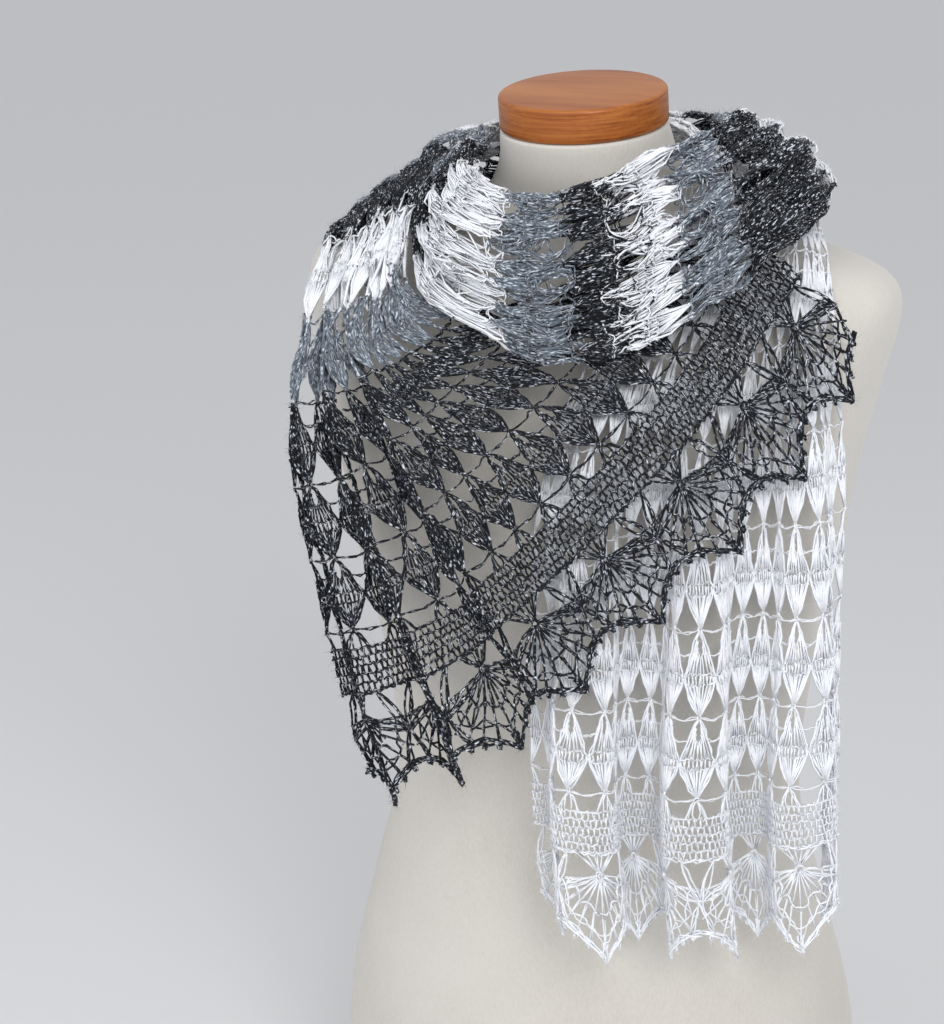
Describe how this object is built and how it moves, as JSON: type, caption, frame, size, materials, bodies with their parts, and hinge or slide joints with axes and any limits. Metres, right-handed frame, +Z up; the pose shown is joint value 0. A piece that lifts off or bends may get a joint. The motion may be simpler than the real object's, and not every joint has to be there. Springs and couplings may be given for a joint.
{
  "type": "rectangular crochet lace shawl on a limbless dress form",
  "caption": "Long crocheted lace shawl with scalloped ends, wound round the neck of a limbless dress form, one end hanging and the other spread over the chest.",
  "frame": {"origin": "centre of the form's flat base", "axes": "+Z up through the neck, -Y is the form's chest, +X is the side to the right of a viewer who faces the chest"},
  "size_m": [0.3947, 0.3271, 0.7873],
  "materials": {
    "form_jersey": "matte fine jersey",
    "cap_wood": "satin varnish",
    "white_lace": "soft mohair crochet lace",
    "striped_lace": "soft mohair crochet lace in white, grey and black stripes",
    "dark_lace": "soft dark mohair crochet lace with pale flecks"
  },
  "bodies": {
    "root": {"form_torso": "form_jersey", "form_neck_cap": "cap_wood", "white_edging": "white_lace", "white_end": "white_lace", "inner_wrap": "striped_lace", "front_band": "striped_lace", "outer_wrap": "striped_lace", "dark_panel": "dark_lace", "dark_edging": "dark_lace"}
  },
  "joints": []
}
